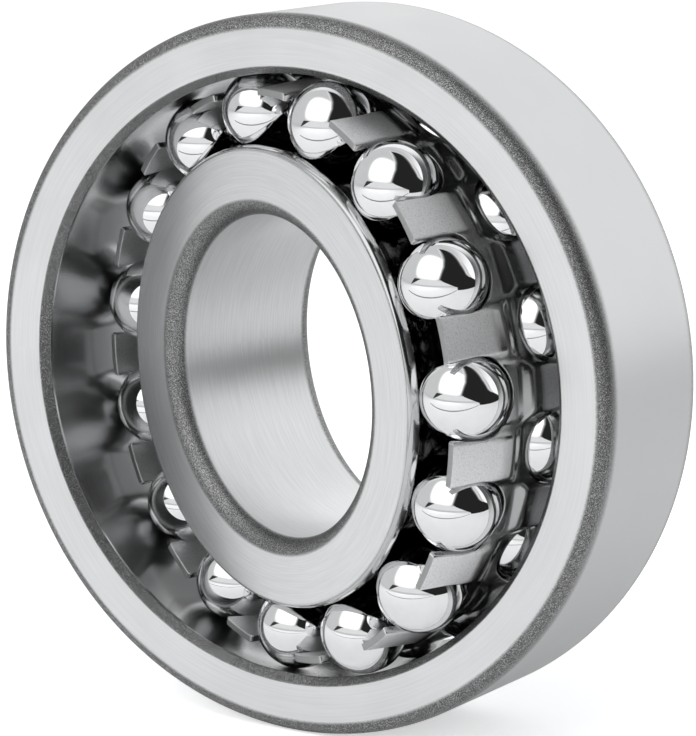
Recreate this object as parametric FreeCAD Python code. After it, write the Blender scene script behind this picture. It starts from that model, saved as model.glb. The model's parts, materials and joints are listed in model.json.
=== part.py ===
import FreeCAD, Part
import math
import os

# Self-aligning ball bearing, 45 mm bore, 100 mm outside, 25 mm wide. Two rows of balls run in
# two grooves of the inner ring and in one ball-shaped raceway of the outer ring, so the inner
# ring can swing in any direction about the middle of the bearing. A cage pressed from one band
# of sheet steel spaces both rows.
#
# Frame: the middle of the bearing is the origin. The outer ring stands upright, with its axis
# along Y and its front face towards -Y, and +Z is up. The inner ring, cage and balls are swung
# out by SWING_DEG, which is the position that the model rests in.

# Boundary sizes.
BORE_D = 45.0
OUTER_D = 100.0
WIDTH = 25.0
OUTER_CORNER_R = 2.1
BORE_CORNER_R = 2.4

# Balls and their rows. The ball centres run a little outside the middle of the section between
# bore and outside, and each row lies ROW_INSET in from its side of the rings.
BALL_D = 11.906
BALLS_PER_ROW = 15
PITCH_OUTWARD = 0.45
ROW_INSET = 5.7
ROW_START_DEG = 4.0
RUNNING_CLEARANCE = 0.02

# Outer ring: the chamfer at the mouth of the raceway.
MOUTH_CHAMFER = 0.98
MOUTH_DEPTH = 1.3

# Inner ring: grooves a little wider than the ball, rounded rims and the land between the rows,
# with their heights above the bottom of the grooves.
GROOVE_CONFORMITY = 1.035
RIM_HEIGHT = 1.48
RIM_ROUND_RADIAL = 0.7
RIM_ROUND_AXIAL = 1.35
LAND_HEIGHT = 1.58

# Cage. Its crest stands outside the ball centres, and its tongues end TONGUE_INSET in from the
# side of the rings. The clearance is between a ball and the inner edge of its pocket.
SHEET = 1.0
CREST_RISE = 4.0
CREST_HALF = 3.0
TONGUE_LEAN_DEG = 4.0
TONGUE_INSET = 1.0
TONGUE_CORNER_R = 0.5
POCKET_CLEARANCE = 0.28
POCKET_LEAN_DEG = 6.0

# Swing of the inner ring, cage and balls, about an axis that leans from the upright.
SWING_DEG = 20.0
SWING_LEAN_DEG = 5.0

# Values that follow from the sizes above.
HALF_WIDTH = WIDTH / 2
BALL_R = BALL_D / 2
PITCH_R = (BORE_D + OUTER_D) / 4 + PITCH_OUTWARD
ROW_OFFSET = HALF_WIDTH - ROW_INSET
CONTACT_REACH = math.hypot(PITCH_R, ROW_OFFSET)
CONTACT_ANGLE = math.atan2(ROW_OFFSET, PITCH_R)
RACEWAY_R = CONTACT_REACH + BALL_R + RUNNING_CLEARANCE
BALL_STEP_DEG = 360.0 / BALLS_PER_ROW
TONGUE_REACH = HALF_WIDTH - TONGUE_INSET
# The sheet's inner face lies this far outside the ball centres where it passes over a row.
TONGUE_FALL = (ROW_OFFSET - CREST_HALF / 2) * math.tan(math.radians(TONGUE_LEAN_DEG))
SHEET_ABOVE_BALL = CREST_RISE - SHEET - TONGUE_FALL
POCKET_R = math.sqrt((BALL_R + POCKET_CLEARANCE) ** 2 - SHEET_ABOVE_BALL ** 2)


def point(radius, height):
    """A point of a turned profile, in the plane that is spun about the bearing's axis."""
    return FreeCAD.Vector(radius, 0, height)


def line(start, end):
    return Part.LineSegment(start, end).toShape()


def arc(start, through, end):
    return Part.Arc(start, through, end).toShape()


def arc_about(centre, radius, start_deg, end_deg):
    """An arc of a profile, from one angle to another about its centre."""
    def at(degrees):
        turn = math.radians(degrees)
        return centre + point(radius * math.cos(turn), radius * math.sin(turn))
    return arc(at(start_deg), at((start_deg + end_deg) / 2), at(end_deg))


def turned(edges):
    """Spins a closed profile about the bearing's axis."""
    profile = Part.Face(Part.Wire(edges))
    return profile.revolve(FreeCAD.Vector(0, 0, 0), FreeCAD.Vector(0, 0, 1), 360)


def outer_ring():
    """The ring with ground sides, rounded outer corners and the ball-shaped raceway."""
    outer_r = OUTER_D / 2
    race_height = HALF_WIDTH - MOUTH_DEPTH
    race_edge_r = math.sqrt(RACEWAY_R ** 2 - race_height ** 2)
    mouth_r = race_edge_r + MOUTH_CHAMFER
    corner_r = outer_r - OUTER_CORNER_R
    corner_height = HALF_WIDTH - OUTER_CORNER_R
    return turned([
        line(point(mouth_r, HALF_WIDTH), point(corner_r, HALF_WIDTH)),
        arc_about(point(corner_r, corner_height), OUTER_CORNER_R, 90, 0),
        line(point(outer_r, corner_height), point(outer_r, -corner_height)),
        arc_about(point(corner_r, -corner_height), OUTER_CORNER_R, 0, -90),
        line(point(corner_r, -HALF_WIDTH), point(mouth_r, -HALF_WIDTH)),
        line(point(mouth_r, -HALF_WIDTH), point(race_edge_r, -race_height)),
        arc(point(race_edge_r, -race_height), point(RACEWAY_R, 0), point(race_edge_r, race_height)),
        line(point(race_edge_r, race_height), point(mouth_r, HALF_WIDTH)),
    ])


def inner_ring():
    """The ring with the bore, its large rounded corners and a groove for each row of balls."""
    bore_r = BORE_D / 2
    corner_r = bore_r + BORE_CORNER_R
    corner_height = HALF_WIDTH - BORE_CORNER_R
    groove_r = BALL_R * GROOVE_CONFORMITY
    # The groove's centre lies on the contact line, past the ball's centre by what the groove is wider.
    groove_reach = CONTACT_REACH + groove_r - BALL_R - RUNNING_CLEARANCE
    groove_centre_r = groove_reach * math.cos(CONTACT_ANGLE)
    groove_height = groove_reach * math.sin(CONTACT_ANGLE)
    groove_floor_r = groove_centre_r - groove_r
    rim_r = groove_floor_r + RIM_HEIGHT
    land_r = groove_floor_r + LAND_HEIGHT
    rim_run = math.sqrt(groove_r ** 2 - (groove_centre_r - rim_r) ** 2)
    land_run = math.sqrt(groove_r ** 2 - (groove_centre_r - land_r) ** 2)
    rim_face_r = rim_r - RIM_ROUND_RADIAL
    rim_side_height = HALF_WIDTH - RIM_ROUND_AXIAL
    rim_round_r = rim_r - RIM_ROUND_RADIAL * (1 - math.sqrt(0.5))
    rim_round_height = HALF_WIDTH - RIM_ROUND_AXIAL * (1 - math.sqrt(0.5))

    def half(side):
        """The edges from the land to the bore on one side, 1 for the front and -1 for the back."""
        return [
            arc(point(land_r, side * (groove_height - land_run)),
                point(groove_floor_r, side * groove_height),
                point(rim_r, side * (groove_height + rim_run))),
            line(point(rim_r, side * (groove_height + rim_run)), point(rim_r, side * rim_side_height)),
            arc(point(rim_r, side * rim_side_height), point(rim_round_r, side * rim_round_height),
                point(rim_face_r, side * HALF_WIDTH)),
            line(point(rim_face_r, side * HALF_WIDTH), point(corner_r, side * HALF_WIDTH)),
            arc_about(point(corner_r, side * corner_height), BORE_CORNER_R, side * 90, side * 180),
        ]

    front = half(1)
    back = half(-1)
    land = line(point(land_r, groove_height - land_run), point(land_r, land_run - groove_height))
    bore = line(point(bore_r, corner_height), point(bore_r, -corner_height))
    return turned(front + [bore] + back[::-1] + [land])


def cage_band():
    """The band before its pockets are punched: a shallow roof, round at its crest."""
    lean = math.radians(TONGUE_LEAN_DEG)
    crest_r = PITCH_R + CREST_RISE
    crest_bend_r = CREST_HALF / math.sin(lean)
    shoulder_r = crest_r - crest_bend_r * (1 - math.cos(lean))
    tip_r = shoulder_r - (TONGUE_REACH - CREST_HALF) * math.tan(lean)
    into_sheet = point(-SHEET * math.cos(lean), -SHEET * math.sin(lean))
    into_sheet_back = point(-SHEET * math.cos(lean), SHEET * math.sin(lean))
    front_tip, front_shoulder = point(tip_r, TONGUE_REACH), point(shoulder_r, CREST_HALF)
    back_tip, back_shoulder = point(tip_r, -TONGUE_REACH), point(shoulder_r, -CREST_HALF)
    return turned([
        line(front_tip, front_shoulder),
        arc(front_shoulder, point(crest_r, 0), back_shoulder),
        line(back_shoulder, back_tip),
        line(back_tip, back_tip + into_sheet_back),
        line(back_tip + into_sheet_back, back_shoulder + into_sheet_back),
        arc(back_shoulder + into_sheet_back, point(crest_r - SHEET, 0), front_shoulder + into_sheet),
        line(front_shoulder + into_sheet, front_tip + into_sheet),
        line(front_tip + into_sheet, front_tip),
    ])


def pocket_punch():
    """The U-shaped punch of a front pocket, round at its bottom and narrowing to its open mouth.
    The pocket's mouth flares at the tip, which rounds the free corners of the tongues."""
    lean = math.radians(POCKET_LEAN_DEG)
    punch_start = PITCH_R - BALL_R
    punch_length = OUTER_D / 2 - punch_start
    side = POCKET_R * math.cos(lean)
    side_height = ROW_OFFSET + POCKET_R * math.sin(lean)
    flare_height = TONGUE_REACH - TONGUE_CORNER_R
    flare_side = side - (flare_height - side_height) * math.tan(lean)
    mouth_side = flare_side + TONGUE_CORNER_R
    mouth_height = TONGUE_REACH + SHEET

    def at(across, height):
        return FreeCAD.Vector(punch_start, across, height)

    def flare(sign):
        knee = TONGUE_CORNER_R * (1 - math.sqrt(0.5))
        return arc(at(sign * flare_side, flare_height), at(sign * (flare_side + knee), TONGUE_REACH - knee),
                   at(sign * mouth_side, TONGUE_REACH))

    outline = Part.Wire([
        arc(at(-side, side_height), at(0, ROW_OFFSET - POCKET_R), at(side, side_height)),
        line(at(side, side_height), at(flare_side, flare_height)),
        flare(1),
        line(at(mouth_side, TONGUE_REACH), at(mouth_side, mouth_height)),
        line(at(mouth_side, mouth_height), at(-mouth_side, mouth_height)),
        line(at(-mouth_side, mouth_height), at(-mouth_side, TONGUE_REACH)),
        flare(-1),
        line(at(-flare_side, flare_height), at(-side, side_height)),
    ])
    return Part.Face(outline).extrude(FreeCAD.Vector(punch_length, 0, 0))


def ball_angle(row, index):
    """The angle of a ball round the axis. The back row is half a step on from the front row."""
    half_step = 0.0 if row == "front" else BALL_STEP_DEG / 2
    return ROW_START_DEG + index * BALL_STEP_DEG + half_step


def about_axis(shape, degrees):
    turned_copy = shape.copy()
    turned_copy.rotate(FreeCAD.Vector(0, 0, 0), FreeCAD.Vector(0, 0, 1), degrees)
    return turned_copy


def cage():
    """The one-piece cage: a band with pockets punched from its front and back edges in turn."""
    front_punch = pocket_punch()
    back_punch = front_punch.mirror(FreeCAD.Vector(0, 0, 0), FreeCAD.Vector(0, 0, 1))
    punches = []
    for index in range(BALLS_PER_ROW):
        punches.append(about_axis(front_punch, ball_angle("front", index)))
        punches.append(about_axis(back_punch, ball_angle("back", index)))
    return cage_band().cut(punches)


def ball(row, index):
    """One ball of a row, in the middle of its pocket."""
    turn = math.radians(ball_angle(row, index))
    height = ROW_OFFSET if row == "front" else -ROW_OFFSET
    centre = FreeCAD.Vector(PITCH_R * math.cos(turn), PITCH_R * math.sin(turn), height)
    return Part.makeSphere(BALL_R, centre)


def stand_up(shape):
    """Turns a piece from its turning axis, upright, to the bearing's axis, with the front to -Y."""
    shape.rotate(FreeCAD.Vector(0, 0, 0), FreeCAD.Vector(1, 0, 0), 90)
    return shape


def swing_out(shape):
    """Stands a piece up and swings it about the middle of the bearing to where it rests."""
    lean = math.radians(SWING_LEAN_DEG)
    axis = FreeCAD.Vector(math.sin(lean), 0, -math.cos(lean))
    stand_up(shape)
    shape.rotate(FreeCAD.Vector(0, 0, 0), axis, SWING_DEG)
    return shape


def build():
    parts = {
        "outer_ring": stand_up(outer_ring()),
        "inner_ring": swing_out(inner_ring()),
        "cage": swing_out(cage()),
    }
    for row in ("front", "back"):
        for index in range(BALLS_PER_ROW):
            parts[f"ball_{row}_{index + 1:02d}"] = swing_out(ball(row, index))
    return parts


os.makedirs("parts", exist_ok=True)
for node, solid in build().items():
    solid.exportStep(os.path.join("parts", node + ".step"))
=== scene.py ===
"""Self-aligning ball bearing: ground rings, lapped balls and pressed cage on a pale studio floor.

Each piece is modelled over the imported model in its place, rides on its body and takes its
finish from nodes. One operator makes each group of pieces, and the sidebar lists them.
"""

import json
import math

import bmesh
import bpy
from mathutils import Matrix, Vector


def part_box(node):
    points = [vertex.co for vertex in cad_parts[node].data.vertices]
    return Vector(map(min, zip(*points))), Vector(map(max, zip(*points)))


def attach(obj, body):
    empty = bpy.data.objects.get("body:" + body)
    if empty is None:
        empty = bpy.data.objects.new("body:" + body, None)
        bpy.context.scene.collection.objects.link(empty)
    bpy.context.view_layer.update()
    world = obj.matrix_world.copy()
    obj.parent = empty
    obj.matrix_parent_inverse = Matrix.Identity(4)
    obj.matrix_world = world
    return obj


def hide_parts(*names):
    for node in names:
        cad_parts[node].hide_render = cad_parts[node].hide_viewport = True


bl_info = {
    "name": "Self-aligning ball bearing",
    "version": (1, 0, 0),
    "blender": (4, 5, 0),
    "location": "3D View > Sidebar > Bearing",
    "description": "Models and finishes the rings, balls and cage of a self-aligning ball bearing",
    "category": "Object",
}

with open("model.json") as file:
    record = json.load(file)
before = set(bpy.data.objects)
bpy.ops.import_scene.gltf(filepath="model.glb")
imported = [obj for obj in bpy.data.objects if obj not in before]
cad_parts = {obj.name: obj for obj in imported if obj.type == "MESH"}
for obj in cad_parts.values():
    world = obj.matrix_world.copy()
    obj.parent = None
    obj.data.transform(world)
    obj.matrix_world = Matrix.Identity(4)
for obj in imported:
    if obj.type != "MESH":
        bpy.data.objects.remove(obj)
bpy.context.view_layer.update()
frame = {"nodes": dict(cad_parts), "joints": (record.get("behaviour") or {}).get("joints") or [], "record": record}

MM = 0.001
JOINTS = {joint["name"]: joint for joint in frame["joints"]}
MOUNTS = {mount["name"]: mount for mount in frame["record"]["mounts"]}

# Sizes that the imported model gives, in millimetres.
OUTER_R = MOUNTS["outer_seat"]["dims"]["r_mm"]
BORE_R = MOUNTS["bore"]["dims"]["r_mm"]
HALF_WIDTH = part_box("outer_ring")[1].y / MM
OUTER_CORNER = HALF_WIDTH - MOUNTS["outer_seat"]["dims"]["length_mm"] / 2
BORE_CORNER = HALF_WIDTH - MOUNTS["bore"]["dims"]["length_mm"] / 2
BALLS = sorted(name for name in frame["nodes"] if name.startswith("ball_"))
BALLS_A_ROW = len(BALLS) // 2
BALL_R = (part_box(BALLS[0])[1].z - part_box(BALLS[0])[0].z) / 2 / MM

FLOOR_Z = -OUTER_R * MM

# Points of a mesh closer than this, in millimetres, are one point.
SAME_POINT = 1e-4

# The inner ring, cage and balls rest swung out of line with the outer ring.
SWIVEL = Vector(JOINTS["swivel"]["axis"]).normalized()
SPIN = Vector(JOINTS["inner_ring_spin"]["axis"]).normalized()
SWING = Matrix.Rotation(Vector((0, -1, 0)).angle(SPIN), 4, SWIVEL)


class Value:
    """A node's socket with arithmetic on it. Each operation adds one Math node."""

    def __init__(self, graph, socket):
        self.graph, self.socket = graph, socket

    def math(self, operation, first, *others):
        values = dict(enumerate((first,) + others))
        return self.graph.node("ShaderNodeMath", {"operation": operation}, values)

    def __add__(self, other):
        return self.math("ADD", self, other)

    def __sub__(self, other):
        return self.math("SUBTRACT", self, other)

    def __rsub__(self, other):
        return self.math("SUBTRACT", other, self)

    def __mul__(self, other):
        return self.math("MULTIPLY", self, other)

    def __pow__(self, other):
        return self.math("POWER", self, other)

    def __abs__(self):
        return self.math("ABSOLUTE", self)

    __radd__ = __add__
    __rmul__ = __mul__

    def ramp(self, start, end, low=0.0, high=1.0):
        """Runs smoothly from low to high as the value goes from start up or down to end."""
        return self.graph.node("ShaderNodeMapRange", {"interpolation_type": "SMOOTHSTEP"},
                               {"Value": self, "From Min": start, "From Max": end,
                                "To Min": low, "To Max": high})

    def mix(self, low, high):
        """The number low where the value is 0, and high where it is 1."""
        return self.graph.node("ShaderNodeMix", {"data_type": "FLOAT"}, {0: self, 2: low, 3: high})

    def tint(self, low, high):
        """The colour low where the value is 0, and high where it is 1."""
        return self.graph.node("ShaderNodeMix", {"data_type": "RGBA"},
                               {0: self, 6: low, 7: high}, 2)


class Graph:
    """The nodes of one material or of the world."""

    def __init__(self, owner):
        owner.use_nodes = True
        self.tree = owner.node_tree
        self.tree.nodes.clear()

    def node(self, kind, settings, sockets, output=0):
        """Adds a node, makes its settings, then fills its sockets with numbers or links, and
        gives the output with that number or name."""
        made = self.tree.nodes.new(kind)
        for name, setting in settings.items():
            setattr(made, name, setting)
        for key, value in sockets.items():
            if isinstance(value, Value):
                self.tree.links.new(value.socket, made.inputs[key])
            else:
                made.inputs[key].default_value = value
        return Value(self, made.outputs[output]) if made.outputs else None

    def metres(self):
        return self.node("ShaderNodeTexCoord", {}, {}, "Object")

    def place(self, turn=None):
        """Object coordinates in millimetres, turned back where a piece is swung out."""
        rotation = turn.inverted().to_euler() if turn else (0.0, 0.0, 0.0)
        return self.node("ShaderNodeMapping", {}, {"Vector": self.metres(), "Rotation": rotation,
                                                   "Scale": (1 / MM, 1 / MM, 1 / MM)})

    def attribute(self, name):
        """A number that the mesh keeps at its points."""
        return self.node("ShaderNodeAttribute", {"attribute_name": name}, {}, "Fac")

    def parts(self, vector):
        """The three numbers of a vector."""
        return [self.node("ShaderNodeSeparateXYZ", {}, {0: vector}, axis) for axis in range(3)]

    def join(self, x, y, z):
        return self.node("ShaderNodeCombineXYZ", {}, {0: x, 1: y, 2: z})

    def noise(self, vector, scale, detail=2.0, roughness=0.5):
        return self.node("ShaderNodeTexNoise", {}, {"Vector": vector, "Scale": scale,
                                                    "Detail": detail, "Roughness": roughness})

    def metal(self, colour, roughness, height, depth):
        """Ends the graph with a metal, its surface lifted by height times depth in millimetres."""
        normal = self.node("ShaderNodeBump", {}, {"Height": height, "Distance": depth * MM})
        shader = self.node("ShaderNodeBsdfPrincipled", {},
                           {"Base Color": colour, "Roughness": roughness, "Metallic": 1.0,
                            "Normal": normal})
        self.node("ShaderNodeOutputMaterial", {}, {"Surface": shader})


def grey(level):
    """A neutral colour, very slightly cool, as steel is."""
    return (level * 0.995, level, level * 1.005, 1.0)


def blank_material(name):
    """A material without nodes yet, and its graph."""
    made = bpy.data.materials.new(name)
    return made, Graph(made)


def polar(graph, vector):
    """The radius, height towards the front and turn of a point about the bearing's axis."""
    x, y, z = graph.parts(vector)
    radius = (x * x + z * z) ** 0.5
    turn = graph.node("ShaderNodeMath", {"operation": "ARCTAN2"}, {0: z, 1: x})
    return radius, y * -1.0, turn


def round_edges(bm, edges, offset, segments):
    """Rounds edges, starting at an offset from each, in millimetres."""
    bmesh.ops.bevel(bm, geom=edges, offset=offset, offset_type="OFFSET", segments=segments,
                    affect="EDGES", profile=0.5, material=-1)


def to_metres(bm, matrix):
    """Takes a mesh from millimetres to metres, then to its place by the matrix."""
    bmesh.ops.scale(bm, vec=(MM, MM, MM), verts=bm.verts)
    bmesh.ops.transform(bm, matrix=matrix, verts=bm.verts)


def add_piece(name, bm, finish):
    """Ends a bmesh as a smooth object with its finish."""
    mesh = bpy.data.meshes.new(name)
    for face in bm.faces:
        face.smooth = True
    bm.to_mesh(mesh)
    bm.free()
    mesh.materials.append(finish)
    obj = bpy.data.objects.new(name, mesh)
    bpy.context.scene.collection.objects.link(obj)
    return obj


def take_place(obj, node):
    """The piece stands for its node, whose own mesh is hidden, and rides on its body."""
    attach(obj, node)
    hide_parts(node)


# Turned profiles are drawn at x, the radius, and y, with the front towards -y, in millimetres.

class Profile:
    """A closed outline drawn with straight runs and arcs, then spun about the bearing's axis."""

    def __init__(self, start):
        self.bm = bmesh.new()
        self.first = bmesh.ops.create_vert(self.bm, co=(start[0], start[1], 0.0))["vert"][0]
        self.last = self.first

    def step_to(self, x, y):
        self.last = bmesh.ops.extrude_vert_indiv(self.bm, verts=[self.last])["verts"][0]
        self.last.co = (x, y, 0.0)

    def run(self, x, y, hold=0.3):
        """A straight run with a support near each end, so that it shades flat."""
        start, end = self.last.co.copy(), Vector((x, y, 0.0))
        along = (end - start).normalized()
        if hold and (end - start).length > 3 * hold:
            self.step_to(*(start + along * hold)[:2])
            self.step_to(*(end - along * hold)[:2])
        self.step_to(x, y)

    def arc(self, centre, degrees, steps):
        """An arc about a centre, turning from x towards y."""
        made = bmesh.ops.spin(self.bm, geom=[self.last], cent=(centre[0], centre[1], 0.0),
                              axis=(0, 0, 1), angle=math.radians(degrees), steps=steps)
        self.last = next(e for e in made["geom_last"] if isinstance(e, bmesh.types.BMVert))

    def spun(self, steps, edge_round, matrix=Matrix.Identity(4)):
        """The full turn, with its sharp edges rounded, in metres and moved by the matrix."""
        bm = self.bm
        bmesh.ops.remove_doubles(bm, verts=bm.verts, dist=SAME_POINT)
        bmesh.ops.spin(bm, geom=bm.verts[:] + bm.edges[:], cent=(0, 0, 0), axis=(0, 1, 0),
                       angle=math.tau, steps=steps, use_merge=True)
        bmesh.ops.remove_doubles(bm, verts=bm.verts, dist=SAME_POINT)
        bmesh.ops.recalc_face_normals(bm, faces=bm.faces)
        least = math.radians(14)
        sharp = [e for e in bm.edges if e.calc_face_angle(0) > least]
        round_edges(bm, sharp, edge_round, 2)
        to_metres(bm, matrix)
        return bm


class BearingSizes(bpy.types.PropertyGroup):
    raceway_radius: bpy.props.FloatProperty(
        name="Raceway radius",
        description="Radius of the ball-shaped raceway in the outer ring, in mm",
        default=43.298, min=42.0, max=45.0)
    mouth_chamfer: bpy.props.FloatProperty(
        name="Mouth chamfer", description="How far the raceway's mouth widens to the side, in mm",
        default=0.98, min=0.2, max=3.0)
    mouth_depth: bpy.props.FloatProperty(
        name="Mouth depth", description="Depth of the chamfer at the raceway's mouth, in mm",
        default=1.3, min=0.2, max=3.0)
    groove_radius: bpy.props.FloatProperty(
        name="Groove radius", description="Radius of the inner ring's grooves across, in mm",
        default=6.1614, min=5.96, max=6.6)
    groove_floor: bpy.props.FloatProperty(
        name="Groove bottom", description="Radius at the bottom of the grooves, in mm",
        default=30.7238, min=30.0, max=32.0)
    groove_height: bpy.props.FloatProperty(
        name="Groove height", description="Distance of each groove from the middle, in mm",
        default=6.8343, min=5.0, max=8.0)
    rim_height: bpy.props.FloatProperty(
        name="Rim height", description="Height of the rims above the grooves, in mm",
        default=1.48, min=0.3, max=2.0)
    rim_round: bpy.props.FloatVectorProperty(
        name="Rim round", description="Rounding of the rims along the radius and the axis, in mm",
        default=(0.7, 1.35), size=2)
    land_height: bpy.props.FloatProperty(
        name="Land height", description="Height of the land between the grooves, in mm",
        default=1.58, min=0.3, max=2.0)
    edge_round: bpy.props.FloatProperty(
        name="Edge round", description="How far sharp turned edges are broken, in mm",
        default=0.1, min=0.02, max=0.3)
    crest_radius: bpy.props.FloatProperty(
        name="Crest radius", description="Radius of the cage at its crest, in mm",
        default=40.7, min=39.0, max=41.0)
    crest_half: bpy.props.FloatProperty(
        name="Crest half width", description="Half the width of the cage's rounded crest, in mm",
        default=3.0, min=1.0, max=6.0)
    tongue_lean: bpy.props.FloatProperty(
        name="Tongue lean", description="Slope of the tongues towards the axis",
        default=math.radians(4.0), unit="ROTATION")
    tongue_reach: bpy.props.FloatProperty(
        name="Tongue reach", description="Distance of the tongues' tips from the middle, in mm",
        default=11.5, min=10.0, max=12.5)
    tongue_corner: bpy.props.FloatProperty(
        name="Tongue corner", description="Radius of the tongues' free corners, in mm",
        default=0.5, min=0.1, max=1.0)
    row_offset: bpy.props.FloatProperty(
        name="Row offset", description="Distance of each row of balls from the middle, in mm",
        default=6.8, min=5.0, max=8.0)
    row_start: bpy.props.FloatProperty(
        name="Row start", description="Turn of the first front ball about the axis",
        default=math.radians(4.0), unit="ROTATION")
    pocket_radius: bpy.props.FloatProperty(
        name="Pocket radius", description="Radius at the bottom of the pockets, in mm",
        default=5.66, min=5.6, max=6.0)
    pocket_lean: bpy.props.FloatProperty(
        name="Pocket lean", description="How far a pocket's sides close towards its mouth",
        default=math.radians(6.0), unit="ROTATION")
    dish_half: bpy.props.FloatProperty(
        name="Dish half width",
        description="Half the width of the pressed rim round a pocket, in mm",
        default=5.85, min=5.0, max=6.5)
    dish_past: bpy.props.FloatProperty(
        name="Dish past middle",
        description="How far a pocket's pressed rim reaches past the middle, in mm",
        default=1.8, min=0.0, max=2.5)
    dish_corner: bpy.props.FloatProperty(
        name="Dish corner", description="Radius of the pressed rim's outline at its corners, in mm",
        default=2.9, min=1.0, max=5.0)
    dish_slope: bpy.props.FloatProperty(
        name="Dish slope", description="Width of the slope down to the pressed rim, in mm",
        default=1.9, min=0.5, max=3.0)
    dish_depth: bpy.props.FloatProperty(
        name="Dish depth", description="How far a pocket's rim is pressed inwards, in mm",
        default=0.9, min=0.0, max=1.0)
    sheet: bpy.props.FloatProperty(
        name="Sheet", description="Thickness of the cage's sheet steel, in mm",
        default=1.0, min=0.6, max=1.5)
    cage_edge: bpy.props.FloatProperty(
        name="Cage edge", description="How far the punched edges of the cage are broken, in mm",
        default=0.12, min=0.02, max=0.3)
    ring_steps: bpy.props.IntProperty(
        name="Ring steps", description="Steps in one turn of a ring", default=320, min=64, max=480)


class BearingFinish(bpy.types.PropertyGroup):
    ground: bpy.props.FloatProperty(
        name="Ground steel", description="Brightness of the ground sides, bore and outside",
        default=0.78, min=0.1, max=1.0, subtype="FACTOR")
    corner: bpy.props.FloatProperty(
        name="Turned corners",
        description="Brightness of the corners that are turned and left dull",
        default=0.1, min=0.02, max=1.0, subtype="FACTOR")
    raceway: bpy.props.FloatProperty(
        name="Polished steel", description="Brightness of the polished raceway and grooves",
        default=0.56, min=0.1, max=1.0, subtype="FACTOR")
    cage: bpy.props.FloatProperty(
        name="Cage steel", description="Brightness of the pressed sheet steel",
        default=0.85, min=0.1, max=1.0, subtype="FACTOR")
    ball: bpy.props.FloatProperty(
        name="Ball steel", description="Brightness of the lapped balls",
        default=0.86, min=0.1, max=1.0, subtype="FACTOR")


class BearingStudio(bpy.types.PropertyGroup):
    lens: bpy.props.FloatProperty(
        name="Lens", description="Focal length on a 36 mm sensor, in mm",
        default=182.01, min=20, max=400)
    key_level: bpy.props.FloatProperty(
        name="Softbox level", description="Radiance of the softbox's lamp",
        default=1.6, min=0, max=5)
    room_level: bpy.props.FloatProperty(
        name="Room level", description="Brightness of the room round the table",
        default=0.65, min=0, max=2)
    floor_lift: bpy.props.FloatVectorProperty(
        name="Floor lift",
        description="Light that the table adds for the camera and for polished steel",
        default=(0.5, 0.03), size=2, min=0, max=2)


def settings():
    scene = bpy.context.scene
    return scene.bearing_sizes, scene.bearing_finish, scene.bearing_studio


def streaks_round(graph, radius, height, turn):
    """Fine grinding marks that run round the bearing."""
    across, along = 4.0, 3.0
    return graph.noise(graph.join(radius * across, height * across, turn * along), 1.0, 3.0, 0.6)


def outer_ring_finish():
    """Ground sides and outside, dull turned corners and mouth, and a polished raceway."""
    sizes, finish, _ = settings()
    made, graph = blank_material("outer_ring_steel")
    place = graph.place()
    radius, height, turn = polar(graph, place)
    side = abs(height)
    grain = graph.noise(place, 3.2, 4.0, 0.65)
    fine = graph.noise(place, 9.0, 2.0, 0.6)
    cloud = graph.noise(place, 0.09, 2.0, 0.5)
    streaks = streaks_round(graph, radius, height, turn)
    ragged = (grain - 0.5) * 0.5
    corner_r, corner_side = OUTER_R - OUTER_CORNER, HALF_WIDTH - OUTER_CORNER
    corner = ((radius + ragged).ramp(corner_r - 0.1, corner_r + 0.5)
              * (side + ragged * 1.6).ramp(corner_side - 0.6, corner_side + 1.4))
    mouth_side = HALF_WIDTH - sizes.mouth_depth
    mouth_r = math.sqrt(sizes.raceway_radius ** 2 - mouth_side ** 2) + sizes.mouth_chamfer
    mouth = radius.ramp(mouth_r + 0.2, mouth_r) * side.ramp(mouth_side - 0.1, mouth_side)
    dull = 1 - (1 - corner) * (1 - mouth)
    race = (radius.ramp(sizes.raceway_radius + 1.2, sizes.raceway_radius + 0.7)
            * side.ramp(mouth_side + 0.05, mouth_side - 0.05))

    worked = (streaks * 0.6 + cloud * 0.4).ramp(0.35, 0.65)
    sides = worked.tint(grey(finish.ground * 0.95), grey(finish.ground * 1.04))
    ground = radius.ramp(OUTER_R - 0.2, OUTER_R - 0.1).tint(sides, grey(finish.ground * 0.8))
    turned = (fine.ramp(0.45, 0.7) * dull).tint(dull.tint(ground, grey(finish.corner)), grey(0.65))
    colour = race.tint(turned, grey(finish.raceway))
    ground_rough = 0.36 + (cloud - 0.5) * 0.1 + (streaks - 0.5) * 0.06
    rough = race.mix(dull.mix(ground_rough, 0.5 + (grain - 0.5) * 0.3),
                     0.2 + (streaks - 0.5) * 0.06)
    lift = race.mix(dull.mix((streaks - 0.5) * 0.15, grain * 1.5 + fine), streaks * 0.04)
    graph.metal(colour, rough, lift, 0.02)
    return made


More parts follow.
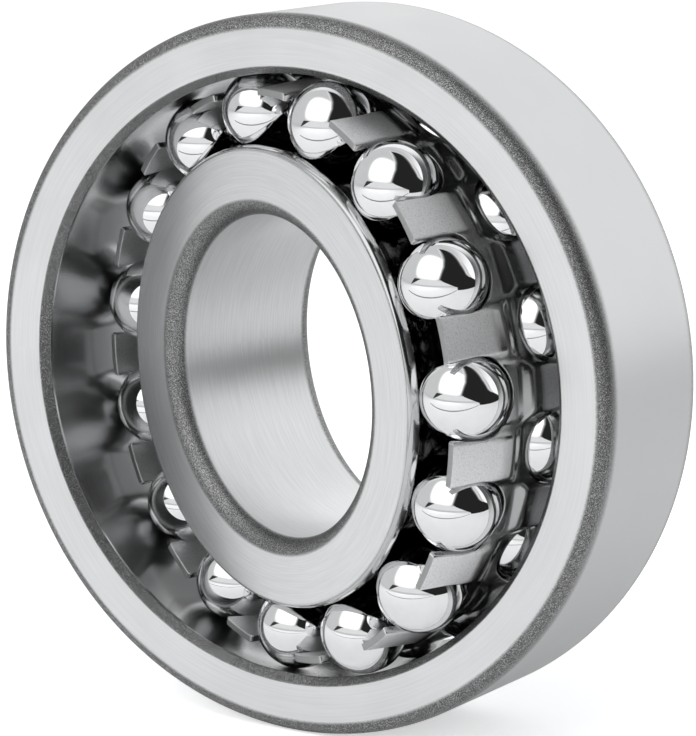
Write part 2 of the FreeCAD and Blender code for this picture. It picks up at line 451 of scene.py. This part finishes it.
def inner_ring_finish():
    """Ground sides and bore, a large dull corner at the bore, polished rims, and grooves darkened with painted
    shade.
    """
    sizes, finish, _ = settings()
    made, graph = blank_material("inner_ring_steel")
    place = graph.place(SWING)
    radius, height, turn = polar(graph, place)
    side = abs(height)
    grain = graph.noise(place, 3.2, 4.0, 0.65)
    fine = graph.noise(place, 9.0, 2.0, 0.6)
    streaks = streaks_round(graph, radius, height, turn)
    ragged = (grain - 0.5) * 0.4
    corner_r, corner_side = BORE_R + BORE_CORNER, HALF_WIDTH - BORE_CORNER
    corner = ((radius - ragged).ramp(corner_r + 0.1, corner_r - 0.5)
              * (side + ragged).ramp(corner_side - 0.1, corner_side + 0.6))
    groove_side = sizes.groove_height + 4.0
    groove = (radius.ramp(sizes.groove_floor - 1.2, sizes.groove_floor - 0.7)
              * side.ramp(groove_side + 0.07, groove_side - 0.23))
    rim_r = sizes.groove_floor + sizes.rim_height - sizes.rim_round[0]
    polished = 1 - (1 - radius.ramp(rim_r - 0.2, rim_r + 0.2)) * (1 - groove)

    worked = streaks.ramp(0.35, 0.65)
    ground = worked.tint(grey(finish.ground * 0.94), grey(finish.ground * 1.03))
    turned = (fine.ramp(0.42, 0.7) * corner).tint(corner.tint(ground, grey(finish.corner)),
                                                  grey(0.6))
    # The grooves are painted far darker than the polished rims: painted shade where the balls and cage shut out
    # the light.
    polished_with_groove_shade = groove.tint(grey(finish.raceway), grey(finish.raceway * 0.14))
    colour = polished.tint(turned, polished_with_groove_shade)
    rough = polished.mix(corner.mix(0.34 + (streaks - 0.5) * 0.08, 0.42 + (grain - 0.5) * 0.3),
                         0.14)
    lift = polished.mix(corner.mix((streaks - 0.5) * 0.15, grain * 1.5 + fine), streaks * 0.04)
    graph.metal(colour, rough, lift, 0.02)
    return made


def ball_finish():
    """Lapped steel with the faintest haze."""
    _, finish, _ = settings()
    made, graph = blank_material("lapped_ball_steel")
    place = graph.place()
    haze = graph.noise(place, 0.6, 3.0, 0.6)
    scuff = graph.noise(place, 14.0, 2.0, 0.6)
    colour = haze.ramp(0.3, 0.8).tint(grey(finish.ball), grey(finish.ball * 0.96))
    rough = haze.ramp(0.4, 0.8, 0.02, 0.04) + scuff.ramp(0.6, 0.8, 0.0, 0.01)
    graph.metal(colour, rough, scuff, 0.00002)
    return made


def cage_finish():
    """Pressed sheet steel: matt on the tongues; burnished over the crest and the pressed rims, and painted darker
    there as painted shade.
    """
    sizes, finish, _ = settings()
    made, graph = blank_material("pressed_cage_steel")
    place = graph.place(SWING)
    _, height, _ = polar(graph, place)
    grain = graph.noise(place, 2.6, 4.0, 0.7)
    fine = graph.noise(place, 5.5, 2.0, 0.6)
    side = abs(height)
    crest = side.ramp(sizes.crest_half + 1.0, sizes.crest_half - 0.4)
    burnished_and_shaded = 1 - (1 - crest) * (1 - graph.attribute("burnish").ramp(0.02, 0.2))
    matt = 1 - burnished_and_shaded
    end = side.ramp(sizes.tongue_reach - 0.1, sizes.tongue_reach - 0.02)
    # Burnished parts are painted at half brightness: painted shade in the pressed rims and over the crest, on top
    # of their smoother finish.
    sheet = burnished_and_shaded.tint(grey(finish.cage), grey(finish.cage * 0.52))
    light_specks = (fine.ramp(0.5, 0.75) * matt * 0.6).tint(sheet, grey(0.97))
    dark_specks = (fine.ramp(0.48, 0.3) * matt * 0.5).tint(light_specks, grey(0.45))
    colour = end.tint(dark_specks, grey(0.4))
    rough = burnished_and_shaded.mix(0.5 + (grain - 0.5) * 0.2, 0.2 + (grain - 0.5) * 0.06)
    lift = burnished_and_shaded.mix(grain * 1.2 + fine, grain * 0.1)
    graph.metal(colour, rough, lift, 0.02)
    return made


def flat_strip():
    """One ball's share of the cage, flat: x runs round the bearing and y towards the front.

    The strip is drawn twice as wide and inset several times along its edges, so that loops
    follow the pockets, before it is cut to its share.
    """
    sizes, _, _ = settings()
    pitch = math.tau / BALLS_A_ROW * sizes.crest_radius
    lean = sizes.pocket_lean
    radius, row, reach = sizes.pocket_radius, sizes.row_offset, sizes.tongue_reach
    side = radius * math.cos(lean)
    side_y = row + radius * math.sin(lean)
    mouth = side - (reach - side_y) * math.tan(lean)
    half_turn = 90 + math.degrees(lean)
    strip = Profile((-pitch, row - radius))
    strip.arc((-pitch, row), half_turn, 14)
    strip.step_to(mouth - pitch, reach)
    strip.step_to(-mouth, reach)
    strip.step_to(-side, side_y)
    strip.arc((0, row), 2 * half_turn, 28)
    strip.step_to(mouth, reach)
    strip.step_to(pitch - mouth, reach)
    strip.step_to(pitch - side, side_y)
    strip.arc((pitch, row), half_turn, 14)
    strip.step_to(pitch, -reach)
    for centre in (pitch / 2, -pitch / 2):
        strip.step_to(centre + mouth, -reach)
        strip.step_to(centre + side, -side_y)
        strip.arc((centre, -row), 2 * half_turn, 28)
        strip.step_to(centre - mouth, -reach)
    strip.step_to(-pitch, -reach)
    bm = strip.bm
    bm.edges.new((strip.last, strip.first))
    bmesh.ops.contextual_create(bm, geom=bm.edges[:])
    bmesh.ops.solidify(bm, geom=bm.faces[:], thickness=sizes.sheet)
    low = min(v.co.z for v in bm.verts)
    bmesh.ops.translate(bm, vec=(0, 0, -sizes.sheet - low), verts=bm.verts)

    def is_tip(vert):
        return abs(abs(vert.co.y) - reach) < 1e-3 and abs(vert.co.x) < pitch - 0.1

    corners = [e for e in bm.edges if is_tip(e.verts[0]) and is_tip(e.verts[1]) and is_upright(e)]
    round_edges(bm, corners, sizes.tongue_corner, 4)
    rims = [e for e in bm.edges if not is_upright(e)]
    round_edges(bm, rims, sizes.cage_edge, 2)
    loop_widths = (0.09, 0.2)
    for width in loop_widths:
        for level in (0.0, -sizes.sheet):
            flat = [f for f in bm.faces if all(abs(v.co.z - level) < SAME_POINT for v in f.verts)]
            inner = max(flat, key=lambda face: face.calc_area())
            bmesh.ops.inset_region(bm, faces=[inner], thickness=width, use_even_offset=True,
                                   use_boundary=True)

    def cut(at, along, clear=False):
        bmesh.ops.bisect_plane(bm, geom=bm.verts[:] + bm.edges[:] + bm.faces[:], plane_co=at,
                               plane_no=along, dist=SAME_POINT, clear_outer=clear)

    cut((pitch / 2, 0, 0), (1, 0, 0), True)
    cut((-pitch / 2, 0, 0), (-1, 0, 0), True)
    steps_round, steps_to_side, gap = 32, 11, 0.55
    tongue_cuts, wall_cuts = (-9.5, -7.8, 7.8, 9.5), (0.22, 0.78)
    for index in range(1, steps_round):
        cut((pitch * (index / steps_round - 0.5), 0, 0), (1, 0, 0))
    for index in range(-steps_to_side, steps_to_side + 1):
        cut((0, index * gap, 0), (0, 1, 0))
    for y in tongue_cuts:
        cut((0, y, 0), (0, 1, 0))
    for share in wall_cuts:
        cut((0, 0, -sizes.sheet * share), (0, 0, 1))
    return bm


def smooth(share):
    """0 below 0, 1 above 1, and a soft run between."""
    share = min(max(share, 0.0), 1.0)
    return share * share * (3 - 2 * share)


def is_upright(edge):
    """An edge across the thickness of the flat strip."""
    along = (edge.verts[0].co - edge.verts[1].co).normalized()
    return abs(along.z) > 0.9


def roll_strip(bm):
    """Presses in the rims of the pockets, bends the strip to its shallow roof and rolls it round.

    Each point also keeps how far it is pressed in, because the sheet is burnished there and is painted darker
    there as painted shade.
    """
    sizes, _, _ = settings()
    burnish = bm.verts.layers.float.new("burnish")
    pitch = math.tau / BALLS_A_ROW * sizes.crest_radius
    lean, half = sizes.tongue_lean, sizes.crest_half
    bend = half / math.sin(lean)

    def pressed(across, along):
        """How far a point is pressed in, from 0 to 1, at a distance from a pocket's centre."""
        corner = sizes.dish_corner
        side = abs(across) - sizes.dish_half + corner
        bottom = along - sizes.row_offset - sizes.dish_past + corner
        outside = (math.hypot(max(side, 0.0), max(bottom, 0.0)) + min(max(side, bottom), 0.0)
                   - corner)
        return smooth(-outside / sizes.dish_slope)

    for vert in bm.verts:
        x, y = vert.co.x, vert.co.y
        dish = max(pressed(x, sizes.row_offset - y),
                   pressed(pitch / 2 - abs(x), sizes.row_offset + y))
        vert[burnish] = dish
        if abs(y) < half:
            rise = bend * (math.cos(math.asin(y / bend)) - 1)
        else:
            rise = bend * (math.cos(lean) - 1) - (abs(y) - half) * math.tan(lean)
        radius = sizes.crest_radius + rise - sizes.dish_depth * dish + vert.co.z
        turn = x / sizes.crest_radius + sizes.row_start
        vert.co = (radius * math.cos(turn), -y, radius * math.sin(turn))


class BEARING_OT_outer_ring(bpy.types.Operator):
    """Turn the outer ring with its ball-shaped raceway"""
    bl_idname = "bearing.outer_ring"
    bl_label = "Outer Ring"

    def execute(self, context):
        sizes, _, _ = settings()
        race_y = HALF_WIDTH - sizes.mouth_depth
        race_edge = math.sqrt(sizes.raceway_radius ** 2 - race_y ** 2)
        mouth = race_edge + sizes.mouth_chamfer
        corner_x, corner_y = OUTER_R - OUTER_CORNER, HALF_WIDTH - OUTER_CORNER
        race_turn = math.degrees(math.atan2(race_y, race_edge))
        profile = Profile((mouth, -HALF_WIDTH))
        profile.run(corner_x, -HALF_WIDTH)
        profile.arc((corner_x, -corner_y), 90, 10)
        profile.run(OUTER_R, corner_y)
        profile.arc((corner_x, corner_y), 90, 10)
        profile.run(mouth, HALF_WIDTH)
        profile.run(race_edge, race_y)
        profile.arc((0, 0), -2 * race_turn, 28)
        profile.run(mouth, -HALF_WIDTH)
        ring = add_piece("outer_ring_turned", profile.spun(sizes.ring_steps, sizes.edge_round),
                         outer_ring_finish())
        take_place(ring, "outer_ring")
        return {"FINISHED"}


class BEARING_OT_inner_ring(bpy.types.Operator):
    """Turn the inner ring with its two grooves and rounded bore corners"""
    bl_idname = "bearing.inner_ring"
    bl_label = "Inner Ring"

    def execute(self, context):
        sizes, _, _ = settings()
        groove_x = sizes.groove_floor + sizes.groove_radius
        rim_x = sizes.groove_floor + sizes.rim_height
        land_x = sizes.groove_floor + sizes.land_height
        rim_run = math.sqrt(sizes.groove_radius ** 2 - (groove_x - rim_x) ** 2)
        land_run = math.sqrt(sizes.groove_radius ** 2 - (groove_x - land_x) ** 2)
        rim_turn = math.degrees(math.atan2(rim_run, groove_x - rim_x))
        land_turn = math.degrees(math.atan2(land_run, groove_x - land_x))
        round_x, round_y = sizes.rim_round
        corner_x, corner_y = BORE_R + BORE_CORNER, HALF_WIDTH - BORE_CORNER
        profile = Profile((land_x, sizes.groove_height - land_run))
        profile.arc((groove_x, sizes.groove_height), -(rim_turn + land_turn), 20)
        profile.run(rim_x, HALF_WIDTH - round_y)
        round_steps = 8
        for step in range(1, round_steps + 1):
            turn = math.radians(90 * step / round_steps)
            profile.step_to(rim_x - round_x * (1 - math.cos(turn)),
                            HALF_WIDTH - round_y * (1 - math.sin(turn)))
        profile.run(corner_x, HALF_WIDTH)
        profile.arc((corner_x, corner_y), 90, 12)
        profile.run(BORE_R, 0.0)
        half = profile.bm
        bmesh.ops.mirror(half, geom=half.verts[:] + half.edges[:], axis="Y",
                         merge_dist=SAME_POINT)
        half.edges.new([v for v in half.verts if len(v.link_edges) == 1])
        ring = add_piece("inner_ring_turned",
                         profile.spun(sizes.ring_steps, sizes.edge_round, SWING),
                         inner_ring_finish())
        take_place(ring, "inner_ring")
        return {"FINISHED"}


class BEARING_OT_balls(bpy.types.Operator):
    """Make the two rows of lapped balls"""
    bl_idname = "bearing.balls"
    bl_label = "Balls"

    def execute(self, context):
        steel = ball_finish()
        for name in BALLS:
            bm = bmesh.new()
            bmesh.ops.create_icosphere(bm, subdivisions=5, radius=BALL_R * MM,
                                       matrix=Matrix.Translation(JOINTS[name + "_roll"]["pos_m"]))
            take_place(add_piece(name + "_lapped", bm, steel), name)
        return {"FINISHED"}


class BEARING_OT_cage(bpy.types.Operator):
    """Punch, dish and roll the one-piece cage from a flat strip"""
    bl_idname = "bearing.cage"
    bl_label = "Cage"

    def execute(self, context):
        bm = flat_strip()
        roll_strip(bm)
        step = math.tau / BALLS_A_ROW
        bmesh.ops.spin(bm, geom=bm.verts[:] + bm.edges[:] + bm.faces[:], cent=(0, 0, 0),
                       axis=(0, 1, 0), angle=step * (BALLS_A_ROW - 1), steps=BALLS_A_ROW - 1,
                       use_duplicate=True)
        bmesh.ops.remove_doubles(bm, verts=bm.verts, dist=2e-3)
        bmesh.ops.recalc_face_normals(bm, faces=bm.faces)
        to_metres(bm, SWING)
        cage = add_piece("cage_pressed", bm, cage_finish())
        take_place(cage, "cage")
        return {"FINISHED"}


def card_face(name, level, edge_level=None, run=None):
    """A card's own plain light. It may go to another level as run, drawn in the card's graph,
    goes from 0 to 1."""
    made, graph = blank_material(name)
    strength = run(graph).ramp(0.0, 1.0, level, edge_level) if run else level
    shader = graph.node("ShaderNodeEmission", {}, {"Color": grey(1.0), "Strength": strength})
    graph.node("ShaderNodeOutputMaterial", {}, {"Surface": shader})
    return made


def to_soft_edge(graph):
    """0 inside a card's inset outline and 1 at its soft edge, late enough to look even."""
    return graph.attribute("edge") ** 2


def to_foot(graph):
    """0 at the top of the sheet behind the bearing and 1 at its foot."""
    top, foot = 1.1, 0.45
    _, _, z = graph.parts(graph.metres())
    return (z - top) * (1 / (foot - top))


def to_round_edge(graph):
    """0 over the middle of the softbox and 1 at its edge, a square with soft corners."""
    middle, edge = 0.5, 0.74
    x, y, _ = graph.parts(graph.metres())
    return ((x ** 4 + y ** 4) ** 0.25 - middle) * (1 / (edge - middle))


def gloss_only(obj):
    """A card that shows in polished steel, and neither to the camera nor as a light or shadow."""
    obj.visible_camera = obj.visible_diffuse = obj.visible_shadow = False


def card(name, corners, face, soft=0.0):
    """A card through its corners, in metres, with a soft edge where it is above the table."""
    bm = bmesh.new()
    edge = bm.verts.layers.float.new("edge")
    made = bmesh.ops.create_circle(bm, cap_ends=True, segments=len(corners), radius=1.0)
    for vert, corner in zip(made["verts"], corners):
        vert.co = corner
    if soft:
        bmesh.ops.inset_region(bm, faces=bm.faces[:], thickness=soft, use_even_offset=False,
                               use_boundary=True)
        for vert in bm.verts:
            vert[edge] = float(vert.is_boundary and vert.co.z > 0.0)
    gloss_only(add_piece(name, bm, face))


def away(distance, *directions):
    """Corners at one distance from the bearing, in metres."""
    return [Vector(direction).normalized() * distance for direction in directions]


def on_table(*corners):
    """Corners that lie just over the table, in metres."""
    over = 0.0004
    return [(x, y, FLOOR_Z + over) for x, y in corners]


class BEARING_OT_stage(bpy.types.Operator):
    """Set the floor, room, softbox, cards and camera"""
    bl_idname = "bearing.stage"
    bl_label = "Stage"

    def execute(self, context):
        scene = context.scene
        _, _, studio = settings()
        scene.view_settings.view_transform = "Standard"

        bm = bmesh.new()
        bmesh.ops.create_grid(bm, x_segments=1, y_segments=1, size=6.0,
                              matrix=Matrix.Translation((0, 0, FLOOR_Z)))
        white, graph = blank_material("table_white")
        cloud = graph.noise(graph.place(), 0.002, 1.0, 0.5)
        diffuse = graph.node("ShaderNodeBsdfDiffuse", {},
                             {"Color": cloud.tint(grey(0.87), grey(0.89))})
        camera_ray, glossy_ray, clear_ray = [
            graph.node("ShaderNodeLightPath", {}, {}, kind)
            for kind in ("Is Camera Ray", "Is Glossy Ray", "Is Transmission Ray")]
        to_camera, to_steel = studio.floor_lift
        added = (camera_ray + clear_ray) * to_camera + glossy_ray * to_steel
        lift = graph.node("ShaderNodeEmission", {}, {"Color": grey(1.0), "Strength": added})
        both = graph.node("ShaderNodeAddShader", {}, {0: diffuse, 1: lift})
        graph.node("ShaderNodeOutputMaterial", {}, {"Surface": both})
        add_piece("table", bm, white)

        world = bpy.data.worlds.new("pale_room")
        scene.world = world
        graph = Graph(world)
        seen = graph.node("ShaderNodeLightPath", {}, {}, "Is Camera Ray")
        room = graph.node("ShaderNodeBackground", {},
                          {"Color": grey(1.0), "Strength": studio.room_level})
        plain = graph.node("ShaderNodeBackground", {}, {"Color": grey(1.0), "Strength": 1.0})
        mixed = graph.node("ShaderNodeMixShader", {}, {0: seen, 1: room, 2: plain})
        graph.node("ShaderNodeOutputWorld", {}, {"Surface": mixed})

        # The dark side of the room stands between the softbox and the pale sheet behind.
        card("dark_side", away(0.9, (-0.25, 0.1, 0.96), (0.22, -0.38, 0.9), (0.35, -0.6, 0.72),
                               (0.36, -0.82, 0.454), (0.33, -0.915, 0.235), (0.5, -0.845, 0.17),
                               (0.893, -0.374, -0.06), (0.83, 0.55, -0.06), (0.93, 0.36, 0.07),
                               (0.915, 0.13, 0.38), (0.72, 0.1, 0.69), (0.42, 0.15, 0.89)),
             card_face("dark_side_face", 0.02, 0.9, to_soft_edge), 0.16)
        card("dark_floor",
             on_table((0.31, -0.13), (0.6, -0.25), (2.0, -0.82), (2.0, 1.4), (0.453, 0.268)),
             card_face("dark_floor_face", 0.02))
        card("back_sheet", away(1.2, (-0.2, 0.15, 0.97), (0.45, 0.1, 0.88), (0.92, 0.25, 0.33),
                                (0.9, 0.45, -0.03), (0.5, 0.87, -0.03), (-0.5, 0.87, -0.03),
                                (-0.6, 0.5, 0.6)),
             card_face("back_sheet_face", 0.62, 1.15, to_foot))

        # In front, the table's far part shows as a lens shape over a thin dark line.
        card("table_front", away(0.95, (-0.80, -0.60, 0.0), (-0.65, -0.745, 0.15),
                                 (-0.4, -0.9, 0.19), (0.0, -0.97, 0.21), (0.4, -0.89, 0.185),
                                 (0.65, -0.74, 0.12), (0.85, -0.5, 0.0)),
             card_face("table_front_face", 0.85))
        card("table_edge", on_table((-0.2, -0.116), (0.3, -0.130), (0.3, -0.144), (-0.2, -0.130)),
             card_face("table_edge_face", 0.3))
        card("dark_left", away(0.8, (-0.812, -0.581, -0.05), (-0.69, -0.705, 0.185),
                               (-0.413, -0.886, 0.208), (-0.67, -0.74, 0.04)),
             card_face("dark_left_face", 0.05))

        # The softbox's lamp lights the bearing, and its face is what polished steel shows.
        toward = Vector((-0.129, -0.732, 0.669)).normalized()
        lamp_distance = 0.62
        turn = toward.to_track_quat("Z", "Y")
        lamp = bpy.data.lights.new("softbox", "AREA")
        lamp.shape, lamp.size = "SQUARE", 0.8
        lamp.energy = studio.key_level * math.pi * lamp.size ** 2
        softbox = bpy.data.objects.new("softbox", lamp)
        softbox.location, softbox.rotation_euler = toward * lamp_distance, turn.to_euler()
        softbox.visible_glossy = softbox.visible_camera = False
        scene.collection.objects.link(softbox)
        bm = bmesh.new()
        bmesh.ops.create_grid(bm, x_segments=1, y_segments=1, size=0.75)
        face = add_piece("softbox_face", bm, card_face("softbox_face", 1.5, 0.66, to_round_edge))
        face.location, face.rotation_euler, face.scale = toward, turn.to_euler(), (1.06, 0.88, 1.0)
        gloss_only(face)

        camera = bpy.data.objects.new("camera", bpy.data.cameras.new("camera"))
        camera.data.sensor_fit, camera.data.sensor_width = "HORIZONTAL", 36.0
        camera.data.lens = studio.lens
        camera.data.clip_start, camera.data.clip_end = 0.01, 50.0
        forward = Vector((-0.53428537, 0.82466261, -0.18566292))
        camera.location = (0.263659, -0.404344, 0.0909)
        camera.rotation_euler = forward.to_track_quat("-Z", "Y").to_euler()
        scene.collection.objects.link(camera)
        scene.camera = camera
        return {"FINISHED"}


class BEARING_PT_panel(bpy.types.Panel):
    bl_idname = "BEARING_PT_panel"
    bl_label = "Ball Bearing"
    bl_space_type = "VIEW_3D"
    bl_region_type = "UI"
    bl_category = "Bearing"

    def draw(self, context):
        for group in settings():
            box = self.layout.box()
            for name in group.__annotations__:
                box.prop(group, name)
        for operator in OPERATORS:
            self.layout.operator(operator.bl_idname)


GROUPS = {"bearing_sizes": BearingSizes, "bearing_finish": BearingFinish,
          "bearing_studio": BearingStudio}
OPERATORS = (BEARING_OT_stage, BEARING_OT_outer_ring, BEARING_OT_inner_ring, BEARING_OT_balls,
             BEARING_OT_cage)


def register():
    for name, group in GROUPS.items():
        bpy.utils.register_class(group)
        setattr(bpy.types.Scene, name, bpy.props.PointerProperty(type=group))
    for made in OPERATORS + (BEARING_PT_panel,):
        bpy.utils.register_class(made)


def unregister():
    for made in (BEARING_PT_panel,) + OPERATORS[::-1]:
        bpy.utils.unregister_class(made)
    for name, group in GROUPS.items():
        delattr(bpy.types.Scene, name)
        bpy.utils.unregister_class(group)


def main():
    register()
    bpy.ops.bearing.stage()
    bpy.ops.bearing.outer_ring()
    bpy.ops.bearing.inner_ring()
    bpy.ops.bearing.balls()
    bpy.ops.bearing.cage()


if __name__ == "__main__":
    main()
